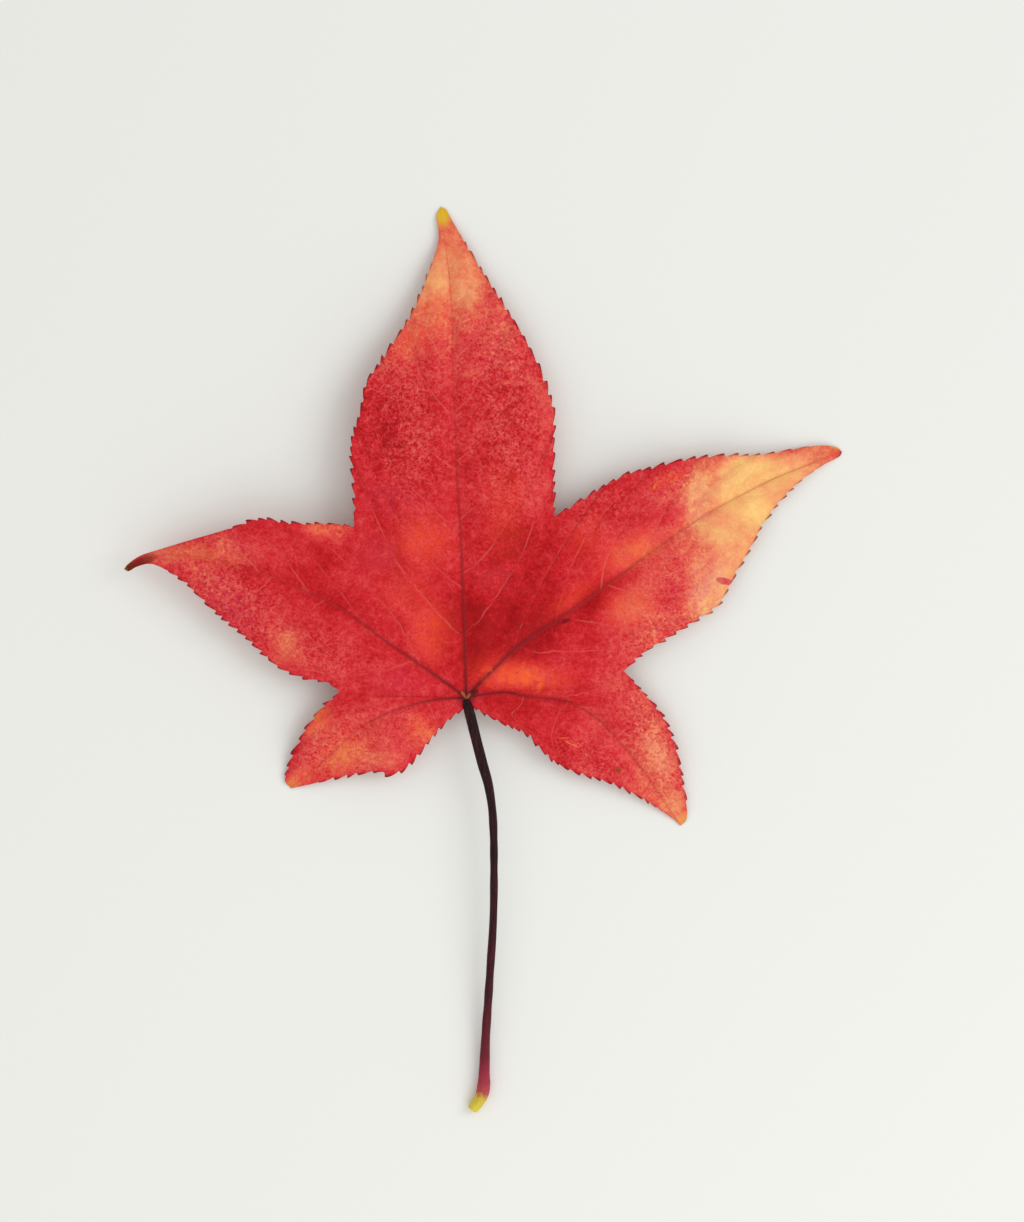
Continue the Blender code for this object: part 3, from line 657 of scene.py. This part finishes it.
bladeLook = {
    "islet": 0.55,              # mm across one islet of the finest net of veins
    "netCell": 0.95,            # mm across a cell of the next coarser net
    "meshCell": 3.4,            # mm across a cell of the coarsest net, which joins the side veins
    "wander": 5.0,              # mm from one bend of a side vein to the next
    "cloud": 6.0,               # mm across a patch of uneven pigment
    "mottle": 1.5,              # mm across the smaller clouds in it
    "grain": 0.42,              # mm across the finest mottling
    "sideVeinHalfWidth": 0.065, # mm
    "paleVein": "#F08478",
    "deepFleck": "#A00E1E",
    "glow": "#FA5228",
    "veinFlank": "#84121A",
    "junction": "#4E1014",
    "rim": "#6A101A",
    "lowerSkin": "#F49A86",
    "lowerVein": "#B06A58",
    "redSteps": [
        (0.00, "#F6CB7A"), (1.00, "#9E070D"), (0.10, "#F3B26E"), (0.20, "#EF9B69"), (0.30, "#EB8058"),
        (0.40, "#E3624C"), (0.50, "#DE4943"), (0.60, "#D73339"), (0.68, "#CF232C"), (0.76, "#C51720"),
        (0.84, "#B70E17"), (0.92, "#A80911"),
    ],
    "veinSteps": [
        (0.00, "#4E1014"), (1.00, "#CC5C30"), (0.08, "#741A1E"), (0.25, "#8A2024"), (0.55, "#AC3228"),
    ],
    # marks: x, y, half length, half width, turn, softness, strength, colour
    "marks": [
        (-8.0, 86.0, 2.7, 2.0, 90, 0.7, 0.95, "#DDB42C"),      # the yellow apex
        (68.2, 41.1, 1.6, 0.5, -12, 0.5, 0.75, "#C4AC38"),     # its like on the right tip
        (69.0, 39.5, 0.9, 0.5, 60, 0.4, 0.85, "#4E2416"),
        (-65.4, 19.1, 3.2, 1.3, 22, 0.6, 0.70, "#7E3422"),     # the dried left tip: its brown, with painted shade where it curls
        (-68.2, 17.9, 1.5, 1.0, 30, 0.5, 0.80, "#7A4624"),
        (-69.1, 17.5, 0.6, 0.6, 0, 0.5, 0.85, "#B7A136"),
        (-37.4, -24.2, 1.5, 1.2, 45, 0.8, 0.55, "#DE8E3C"),    # the ends of the lower lobes
        (38.5, -30.8, 1.8, 1.2, 70, 0.8, 0.60, "#E8A650"),
        (26.0, -21.2, 0.70, 0.6, 0, 0.8, 0.85, "#8A3A14"),     # a brown spot
        (46.4, 15.2, 1.8, 0.8, -12, 0.25, 0.88, "#CC2040"),    # a crimson one in the peach
        (33.0, 34.1, 1.2, 0.5, 70, 1.0, 0.50, "#EE9238"),      # yellow flecks and clear patches
        (36.8, 35.0, 1.0, 0.5, 60, 1.0, 0.50, "#EE9238"),
        (29.6, 21.0, 6.0, 2.6, 25, 1.0, 0.26, "#F4904C"),
        (28.4, 10.4, 5.4, 3.2, 30, 1.0, 0.20, "#F28A58"),
        (43.5, 14.5, 5.0, 7.0, -15, 1.0, 0.30, "#EA968C"),
        (41.0, 28.0, 3.0, 7.0, 0, 1.0, 0.28, "#DE6E6C"),
        (65.6, 39.9, 3.4, 1.8, 14, 1.0, 0.40, "#C05A48"),
        (8.6, -3.4, 5.2, 1.9, -8, 1.0, 0.28, "#FC8A34"),
        (5.6, -3.4, 6.5, 2.2, -6, 1.0, 0.55, "#F6582A"),
        (-11.2, 23.4, 6.0, 4.0, 10, 1.0, 0.10, "#F2582E"),
        (-10.6, 5.5, 3.4, 7.0, 12, 1.0, 0.14, "#F45A30"),
        (-37.8, 2.8, 5.0, 2.6, 60, 1.0, 0.16, "#EE9A66"),
        (-54.0, 20.4, 9.0, 2.0, -8, 1.0, 0.30, "#E07C3E"),
        (-48.0, 10.5, 9.0, 4.6, -40, 1.0, 0.32, "#CC2646"),    # crimson turning to magenta
        (-17.0, -4.0, 6.0, 3.0, 0, 1.0, 0.28, "#C8284C"),
        # painted reflection: the next three lilac patches are a soft sheen of the surroundings painted onto
        # the satin skin, not pigment
        (2.0, 16.0, 3.6, 2.6, 0, 1.0, 0.26, "#B64454"),
        (-20.5, 20.0, 5.0, 4.0, 0, 1.0, 0.24, "#BC3A4C"),
        (-17.5, 31.0, 5.0, 4.0, 0, 1.0, 0.24, "#B03048"),
        (-29.8, 25.2, 4.2, 0.9, 0, 1.0, 0.40, "#EE9A5C"),
        (-27.0, -18.5, 5.0, 2.8, 30, 1.0, 0.32, "#F09A58"),
        (-11.4, -13.8, 2.8, 1.9, -50, 1.0, 0.45, "#EE8448"),
        (-31.8, -11.5, 1.6, 3.6, -30, 1.0, 0.40, "#EE8444"),
        (33.8, -18.5, 2.6, 5.0, 25, 1.0, 0.50, "#F0A078"),
        (16.9, -16.2, 1.7, 0.16, -23, 0.4, 0.55, "#F2883C"),   # two short scratches
        (15.3, -15.0, 1.2, 0.14, -5, 0.4, 0.45, "#F2883C"),
        (15.8, 7.5, 1.0, 0.5, 32, 0.5, 0.70, "#560E14"),       # a bruise on the right vein
        (-1.7, -6.2, 0.9, 0.6, 30, 0.5, 0.75, "#3A0C0E"),
        (-3.9, -6.7, 0.9, 0.32, 125, 0.5, 0.75, "#B4683E"),    # a painted highlight on the raised knot, in two tan strokes
        (-2.9, -6.9, 0.7, 0.30, 50, 0.5, 0.75, "#A85A36"),
    ],
}


softEnds = {"interpolation_type": "SMOOTHSTEP"}


def leafBladeFace(name, look, underside):
    # Leaf tissue gone red: anthocyanin in its cells over old yellow carotene. To the eye it is a
    # matt satin skin, never one red: every islet between the finest veins holds its own shade, the
    # small veins stay paler and the five main ones are dark.
    material, tree = newMaterial(name)
    add = partial(addNode, tree)
    for key in bladeFields:
        add(key, "Attribute", attribute_name=key)
    # leaf millimetres, so that a pattern's scale is one over its size, and the same a little warped
    add("place", "TexCoord")
    add("space", "Mapping", {0: "place:Object", 3: (1 / mm, 1 / mm, 1 / mm)})
    add("drift", "TexNoise", {"Vector": "space", "Scale": 1 / 1.6, "Detail": 3.0})
    add("driftStep", "VectorMath", {0: "drift:Color", 1: (0.5, 0.5, 0.5)}, operation="SUBTRACT")
    add("warped", "VectorMath", {0: "driftStep", 1: (1.6, 1.6, 1.6), 2: "space"}, operation="MULTIPLY_ADD")
    add("cloud", "TexNoise", {"Vector": "space", "Scale": 1 / look["cloud"], "Detail": 5.0, "Roughness": 0.6})
    clouds = {"Vector": "space", "Scale": 1 / look["mottle"], "Detail": 4.0, "Roughness": 0.65}
    add("mottle", "TexNoise", clouds)
    add("grain", "TexNoise", {"Vector": "space", "Scale": 1 / look["grain"], "Detail": 2.0, "Roughness": 0.7})
    add("islet", "TexVoronoi", {"Vector": "warped", "Scale": 1 / look["islet"]}, feature="F1")
    add("isletShade", "SeparateColor", {0: "islet:Color"})
    add("net", "TexVoronoi", {"Vector": "warped", "Scale": 1 / look["netCell"]}, feature="DISTANCE_TO_EDGE")
    add("eased", "VectorMath", {0: "driftStep", 1: (0.5, 0.5, 0.5), 2: "space"}, operation="MULTIPLY_ADD")
    add("mesh", "TexVoronoi", {"Vector": "eased", "Scale": 1 / look["meshCell"]}, feature="DISTANCE_TO_EDGE")

    # redness = the touches + unevenness * (cloud, mottle, grain and islet shade, each about its middle and
    # times its reach), where the unevenness is halved on tissue that is nearly bare of red
    add("isletReach", "MapRange", {0: "speckle:Fac", 3: 0.03, 4: 0.36})
    add("isletSwing", "Math", {0: "isletShade", 1: 0.5}, operation="SUBTRACT")
    add("red1", "Math", {0: "cloud", 1: 0.40, 2: -0.49}, operation="MULTIPLY_ADD")
    add("red2", "Math", {0: "mottle", 1: 0.34, 2: "red1"}, operation="MULTIPLY_ADD")
    add("red3", "Math", {0: "grain", 1: 0.24, 2: "red2"}, operation="MULTIPLY_ADD")
    add("red4", "Math", {0: "isletSwing", 1: "isletReach", 2: "red3"}, operation="MULTIPLY_ADD")
    add("unevenness", "MapRange", {0: "redness:Fac", 1: 0.05, 2: 0.50, 3: 0.50, 4: 1.0})
    add("red5", "Math", {0: "red4", 1: "unevenness", 2: "redness:Fac"}, operation="MULTIPLY_ADD")
    add("pigment", "ValToRGB", {0: "red5"}, stops=look["redSteps"])
    add("glowPatch", "MapRange", {0: "mottle", 1: 0.36, 2: 0.60, 3: 0.36, 4: 0.84}, **softEnds)
    add("glowShare", "Math", {0: "glow:Fac", 1: "glowPatch"}, operation="MULTIPLY")
    add("glowing", "Mix", {0: "glowShare", 6: "pigment", 7: toLinear(look["glow"])}, data_type="RGBA")

    # deep flecks, thickest where the speckle is strong
    add("fleckSpot", "MapRange", {0: "grain", 1: 0.50, 2: 0.62}, **softEnds)
    add("fleckReach", "MapRange", {0: "speckle:Fac", 3: 0.08, 4: 0.66})
    add("fleckRed", "MapRange", {0: "red5", 1: 0.15, 2: 0.50, 3: 0.12, 4: 1.0})
    add("fleckPart", "Math", {0: "fleckSpot", 1: "fleckReach"}, operation="MULTIPLY")
    add("fleckShare", "Math", {0: "fleckPart", 1: "fleckRed"}, operation="MULTIPLY")
    add("flecked", "Mix", {0: "fleckShare", 6: "glowing:2", 7: toLinear(look["deepFleck"])}, data_type="RGBA")

    # side veins: the gap to the nearest one is the distance of the phase from a whole number times the step
    half = look["sideVeinHalfWidth"]
    bends = {"Vector": "space", "Scale": 1 / look["wander"], "Detail": 4.0, "Roughness": 0.55}
    add("wander", "TexNoise", bends)
    add("phaseShift", "Math", {0: "wander", 1: 0.20, 2: "phase:Fac"}, operation="MULTIPLY_ADD")
    add("phaseBack", "Math", {0: "phaseShift", 1: 0.10}, operation="SUBTRACT")
    add("phaseGap", "Math", {0: "phaseBack", 1: 0.5}, operation="PINGPONG")
    add("sideGap", "Math", {0: "phaseGap", 1: "sideStep:Fac"}, operation="MULTIPLY")
    add("sideLine", "MapRange", {0: "sideGap", 1: half * 0.5, 2: half * 1.8, 3: 1.0, 4: 0.0}, **softEnds)
    add("inLoop", "MapRange", {0: "loopGap:Fac", 1: 0.2, 2: 1.4, 3: 1.0, 4: 0.0}, **softEnds)
    add("loopAway", "Math", {0: "loopGap:Fac"}, operation="ABSOLUTE")
    add("loopLine", "MapRange", {0: "loopAway", 1: half * 0.4, 2: half * 1.6, 3: 0.5, 4: 0.0}, **softEnds)
    add("sideShown", "Math", {0: "sideLine", 1: "inLoop"}, operation="MULTIPLY")
    add("smallVein", "Math", {0: "sideShown", 1: "loopLine"}, operation="MAXIMUM")
    # pigment hides them in places
    add("veinSeen", "MapRange", {0: "cloud", 1: 0.42, 2: 0.62, 3: 0.05, 4: 0.28}, **softEnds)
    add("veinPale", "Math", {0: "smallVein", 1: "veinSeen"}, operation="MULTIPLY")
    add("netLine", "MapRange", {0: "net", 1: 0.01, 2: 0.10, 3: 1.0, 4: 0.0}, **softEnds)
    add("netReach", "MapRange", {0: "speckle:Fac", 3: 0.04, 4: 0.34})
    add("netPart", "Math", {0: "netLine", 1: "netReach"}, operation="MULTIPLY")
    add("netRed", "MapRange", {0: "red5", 1: 0.60, 2: 0.90, 3: 1.0, 4: 0.2})
    add("netPale", "Math", {0: "netPart", 1: "netRed"}, operation="MULTIPLY")
    add("meshLine", "MapRange", {0: "mesh", 1: 0.004, 2: 0.034, 3: 1.0, 4: 0.0}, **softEnds)
    add("meshSeen", "MapRange", {0: "cloud", 1: 0.36, 2: 0.58, 3: 0.15, 4: 0.03}, **softEnds)
    add("meshPart", "Math", {0: "meshLine", 1: "meshSeen"}, operation="MULTIPLY")
    add("meshPale", "Math", {0: "meshPart", 1: "netRed"}, operation="MULTIPLY")
    add("coarsePale", "Math", {0: "veinPale", 1: "meshPale"}, operation="MAXIMUM")
    add("paleShare", "Math", {0: "coarsePale", 1: "netPale"}, operation="MAXIMUM")
    add("netted", "Mix", {0: "paleShare", 6: "flecked:2", 7: toLinear(look["paleVein"])}, data_type="RGBA")

    # main veins: darkest where they leave the petiole, then a dark red line that thins and fades
    add("flankFade", "MapRange", {0: "veinShare:Fac", 1: 0.02, 2: 0.7, 3: 0.52, 4: 0.14})
    add("flankNear", "MapRange", {0: "veinGap:Fac", 1: 0.6, 2: 2.9, 3: 1.0, 4: 0.0}, **softEnds)
    add("flankShare", "Math", {0: "flankFade", 1: "flankNear"}, operation="MULTIPLY")
    add("flanked", "Mix", {0: "flankShare", 6: "netted:2", 7: toLinear(look["veinFlank"])}, data_type="RGBA")
    add("coreFade", "MapRange", {0: "veinShare:Fac", 1: 0.0, 2: 0.7, 3: 0.80, 4: 0.36})
    add("coreNear", "MapRange", {0: "veinGap:Fac", 1: 0.2, 2: 1.05, 3: 1.0, 4: 0.0}, **softEnds)
    add("coreShare", "Math", {0: "coreFade", 1: "coreNear"}, operation="MULTIPLY")
    add("veinColour", "ValToRGB", {0: "veinShare:Fac"}, stops=look["veinSteps"])
    add("veined", "Mix", {0: "coreShare", 6: "flanked:2", 7: "veinColour"}, data_type="RGBA")
    add("baseShare", "MapRange", {0: "fromBase:Fac", 1: 0.4, 2: 2.6, 3: 0.70, 4: 0.0}, **softEnds)
    add("based", "Mix", {0: "baseShare", 6: "veined:2", 7: toLinear(look["junction"])}, data_type="RGBA")

    # margin: a thin dark line, and a brown gland on each tooth's point
    add("edgeLine", "MapRange", {0: "edgeGap:Fac", 1: 0.0, 2: 0.26, 3: 0.14, 4: 0.0}, **softEnds)
    add("glandNear", "MapRange", {0: "edgeGap:Fac", 1: 0.05, 2: 0.50, 3: 0.88, 4: 0.0}, **softEnds)
    add("gland", "Math", {0: "glandNear", 1: "toothTip:Fac"}, operation="MULTIPLY")
    add("rimShare", "Math", {0: "edgeLine", 1: "gland"}, operation="MAXIMUM")
    add("rimmed", "Mix", {0: "rimShare", 6: "based:2", 7: toLinear(look["rim"])}, data_type="RGBA")

    # each mark: its distance in its own lengths, softened, laid over what is there
    # soft ones stray further and show only where the mottle is light
    last = "rimmed:2"
    add("jitter", "VectorMath", {0: "driftStep", 1: (0.7, 0.7, 0.0), 2: "space"}, operation="MULTIPLY_ADD")
    add("strays", "VectorMath", {0: "driftStep", 1: (6.0, 6.0, 0.0), 2: "space"}, operation="MULTIPLY_ADD")
    add("patchy", "MapRange", {0: "mottle", 1: 0.36, 2: 0.60, 3: 0.0, 4: 1.35}, **softEnds)
    for number, (x, y, length, width, turn, softness, strength, colour) in enumerate(look["marks"]):
        middle = (x + zeroX / mm, y + zeroY / mm, 0.0)
        mark = "mark%d" % number
        soft = softness > 0.85
        path = "strays" if soft else "jitter"
        turned = {0: path, 1: middle, 2: (0.0, 0.0, radians(turn)), 3: (length, width, 1e4)}
        faded = {0: mark + "Away:Value", 1: 1 - softness, 2: 1 + 0.3 * softness, 3: strength, 4: 0.0}
        add(mark + "Turned", "Mapping", turned, vector_type="TEXTURE")
        add(mark + "Away", "VectorMath", {0: mark + "Turned"}, operation="LENGTH")
        add(mark + "Share", "MapRange", faded, **softEnds)
        add(mark + "Laid", "Math", {0: mark + "Share", 1: "patchy" if soft else 1.0}, operation="MULTIPLY")
        add(mark, "Mix", {0: mark + "Laid", 6: last, 7: toLinear(colour)}, data_type="RGBA")
        last = mark + ":2"

    if underside:
        # the lower skin is paler and duller, with its veins showing light
        add("lowerSkin", "Mix", {0: 0.50, 6: last, 7: toLinear(look["lowerSkin"])}, data_type="RGBA")
        add("lowerVein", "Math", {0: "coreNear", 1: 0.6}, operation="MULTIPLY")
        veinTint = toLinear(look["lowerVein"])
        add("lowerVeined", "Mix", {0: "lowerVein", 6: "lowerSkin:2", 7: veinTint}, data_type="RGBA")
        last = "lowerVeined:2"

    smoothest, roughest = (0.66, 0.78) if underside else (0.48, 0.60)
    add("rough", "MapRange", {0: "cloud", 1: 0.3, 2: 0.7, 3: smoothest, 4: roughest})
    add("bump1", "Math", {0: "grain", 1: 0.35}, operation="MULTIPLY")
    add("bump2", "Math", {0: "netLine", 1: -0.4, 2: "bump1"}, operation="MULTIPLY_ADD")
    add("bump3", "Math", {0: "smallVein", 1: -0.7, 2: "bump2"}, operation="MULTIPLY_ADD")
    outward = -mm if underside else mm
    add("bump", "Bump", {"Strength": 0.35, "Distance": 0.10 * outward, "Height": "bump3"})
    shader = tree.nodes["Principled BSDF"]
    for key, source in (("Base Color", last), ("Roughness", "rough"), ("Normal", "bump")):
        node, _, output = source.partition(":")
        tree.links.new(tree.nodes[node].outputs[int(output or 0)], shader.inputs[key])
    shader.inputs["Specular IOR Level"].default_value = 0.10
    return material


petioleLook = {
    "length": 82.0,             # mm
    # along the petiole, from the blade to the cut end
    "skinSteps": [
        (0.00, "#1C0B0D"), (1.00, "#DACB42"), (0.25, "#1B090C"), (0.50, "#260B10"), (0.72, "#3A0E17"),
        (0.86, "#6A1A28"), (0.915, "#A03044"), (0.945, "#B04A48"), (0.960, "#CDB640"),
    ],
    "streak": "#7A2A38",
    "fleck": "#5A2A20",
    "pith": "#CDB86A",
}


def petioleSkin(name, look):
    # Petiole skin: a smooth waxy bark a tenth of a millimetre thick, dark maroon near the blade and
    # redder towards the twig, with a yellow corky swollen end. It gives a soft long highlight.
    material, tree = newMaterial(name)
    add = partial(addNode, tree)
    for key in ("fromBlade", "cutFace"):
        add(key, "Attribute", attribute_name=key)
    add("place", "TexCoord")
    add("space", "Mapping", {0: "place:Object", 3: (1 / mm, 1 / mm, 1 / mm)})
    add("stretched", "Mapping", {0: "space", 3: (2.6, 0.22, 2.6)})
    add("streak", "TexNoise", {"Vector": "stretched", "Scale": 1.0, "Detail": 4.0, "Roughness": 0.6})
    add("fleck", "TexNoise", {"Vector": "space", "Scale": 1 / 0.7, "Detail": 3.0})
    add("wobble", "Math", {0: "fleck", 1: 2.4, 2: "fromBlade:Fac"}, operation="MULTIPLY_ADD")
    add("along", "MapRange", {0: "wobble", 1: 1.2, 2: look["length"] + 1.2})
    add("skin", "ValToRGB", {0: "along"}, stops=look["skinSteps"])
    add("streakPale", "MapRange", {0: "streak", 1: 0.45, 2: 0.72, 3: 0.0, 4: 0.25})
    add("streaked", "Mix", {0: "streakPale", 6: "skin", 7: toLinear(look["streak"])}, data_type="RGBA")
    add("fleckShare", "MapRange", {0: "fleck", 1: 0.63, 2: 0.72, 3: 0.0, 4: 0.55})
    add("flecked", "Mix", {0: "fleckShare", 6: "streaked:2", 7: toLinear(look["fleck"])}, data_type="RGBA")
    add("pithShare", "Math", {0: "cutFace:Fac", 1: 0.8}, operation="MULTIPLY")
    add("finished", "Mix", {0: "pithShare", 6: "flecked:2", 7: toLinear(look["pith"])}, data_type="RGBA")
    add("rough", "MapRange", {0: "streak", 1: 0.3, 2: 0.7, 3: 0.44, 4: 0.60})
    add("bump", "Bump", {"Strength": 0.4, "Distance": 0.06 * mm, "Height": "streak"})
    shader = tree.nodes["Principled BSDF"]
    tree.links.new(tree.nodes["finished"].outputs[2], shader.inputs["Base Color"])
    tree.links.new(tree.nodes["rough"].outputs[0], shader.inputs["Roughness"])
    tree.links.new(tree.nodes["bump"].outputs[0], shader.inputs["Normal"])
    shader.inputs["Specular IOR Level"].default_value = 0.14
    return material


# floor, light and camera
studio = {
    "floor": "#ECECE7",
    "floorReach": 3.0,          # m from the middle of the floor to its sides
    "centre": (5.45, 9.45),     # leaf mm under the middle of the view
    "viewHeight": 236.1,        # leaf mm from the bottom of the view to its top
    "distance": 1300.0,         # leaf mm from the floor to the lens
    # soft lights: name, where it stands and its width in leaf mm, its power in watts and its tint
    "lights": [
        ("windowLight", (975.0, 261.0, 941.0), 950.0, 4.9, "#F8FEFF"),
        ("bounceCard", (200.0, -450.0, 380.0), 620.0, 0.80, "#FFFFFF"),
    ],
    "surround": 0.80,           # strength of the light from all round
    "surroundTint": "#FAF9F9",
}


def makeFloor():
    # Matte white paper: its fibres scatter light evenly, so it shows soft shadows and no highlight.
    reach = studio["floorReach"]
    mesh = bpy.data.meshes.new("floor")
    corners = [(x, y, zeroZ) for x, y in ((-reach, -reach), (reach, -reach), (reach, reach), (-reach, reach))]
    mesh.from_pydata(corners, [], [(0, 1, 2, 3)])
    floor = bpy.data.objects.new("floor", mesh)
    bpy.context.scene.collection.objects.link(floor)
    material, tree = newMaterial("matte white paper sheet")
    shader = tree.nodes["Principled BSDF"]
    shader.inputs["Base Color"].default_value = toLinear(studio["floor"])
    shader.inputs["Roughness"].default_value = 0.9
    shader.inputs["Specular IOR Level"].default_value = 0.1
    mesh.materials.append(material)


def makeLights():
    # disks that face the middle of the leaf, in an evenly lit room
    for name, stand, width, power, tint in studio["lights"]:
        data = bpy.data.lights.new(name, "AREA")
        data.shape = "DISK"
        data.size = width * mm
        data.energy = power
        data.color = toLinear(tint)[:3]
        light = bpy.data.objects.new(name, data)
        light.location = np.array(stand) * mm
        light.rotation_euler = (-light.location).to_track_quat("-Z", "Y").to_euler()
        bpy.context.scene.collection.objects.link(light)
    world = bpy.data.worlds.new("softRoom")
    world.use_nodes = True
    background = world.node_tree.nodes["Background"]
    background.inputs["Color"].default_value = toLinear(studio["surroundTint"])
    background.inputs["Strength"].default_value = studio["surround"]
    bpy.context.scene.world = world


def makeCamera():
    # straight above, with the angle that fits the view's height at its distance
    data = bpy.data.cameras.new("overhead")
    data.sensor_fit = "VERTICAL"
    data.angle = 2 * np.arctan(studio["viewHeight"] / 2 / studio["distance"])
    data.clip_start, data.clip_end = 0.01, 20
    camera = bpy.data.objects.new("overhead", data)
    camera.location = (
        zeroX + studio["centre"][0] * mm, zeroY + studio["centre"][1] * mm, zeroZ + studio["distance"] * mm,
    )
    bpy.context.scene.collection.objects.link(camera)
    bpy.context.scene.camera = camera
    bpy.context.scene.view_settings.view_transform = "Standard"


makeCamera()
makeLights()
makeFloor()
print("camera, light and floor set")

bladeMaterials = [
    leafBladeFace("red leaf upper skin", bladeLook, False),
    leafBladeFace("red leaf underside", bladeLook, True),
]
blade = makeBlade(bladeForm, bladeMaterials)
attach(blade, "root")
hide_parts("leaf_blade")
print("blade made:", len(blade.data.polygons), "faces")

petiole = makePetiole(petioleForm, [petioleSkin("waxy petiole skin", petioleLook)])
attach(petiole, "root")
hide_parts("petiole")
print("petiole made:", len(petiole.data.polygons), "faces")
